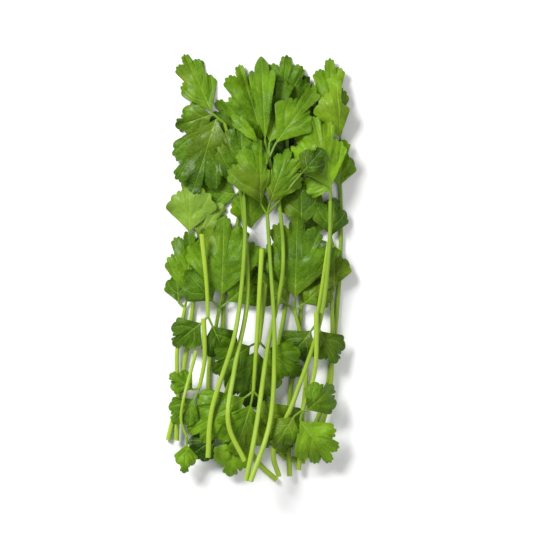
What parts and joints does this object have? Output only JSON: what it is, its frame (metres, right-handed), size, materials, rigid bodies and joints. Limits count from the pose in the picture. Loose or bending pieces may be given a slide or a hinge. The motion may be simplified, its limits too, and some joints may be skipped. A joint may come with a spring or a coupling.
{
  "type": "parsley bunch",
  "caption": "Loose bunch of cut flat-leaf parsley lying down: slender stalks dividing into flat, three-lobed, toothed leaflets heaped at both ends.",
  "frame": {"origin": "centre of the bunch seen from above, at the height of the surface that it lies on", "axes": "+Y along the stalks towards the top leaves, +Z up from the surface, +X to the right seen from above with +Y up"},
  "size_m": [0.088, 0.199, 0.0244],
  "materials": {
    "bright_green": "satin leaf, bright yellow-green",
    "middle_green": "satin leaf, mid green",
    "deep_green": "satin leaf, dark green"
  },
  "bodies": {
    "root": {"sprig_01": "deep_green", "sprig_02": "middle_green", "sprig_03": "middle_green", "sprig_04": "middle_green", "sprig_05": "deep_green", "sprig_06": "bright_green", "sprig_07": "middle_green", "sprig_08": "middle_green", "sprig_09": "deep_green", "sprig_10": "deep_green", "sprig_11": "middle_green", "sprig_12": "middle_green", "sprig_13": "bright_green", "sprig_14": "middle_green", "sprig_15": "middle_green", "sprig_16": "deep_green", "sprig_17": "deep_green", "sprig_18": "middle_green", "sprig_19": "bright_green", "sprig_20": "bright_green", "sprig_21": "bright_green", "sprig_22": "middle_green"}
  },
  "joints": []
}
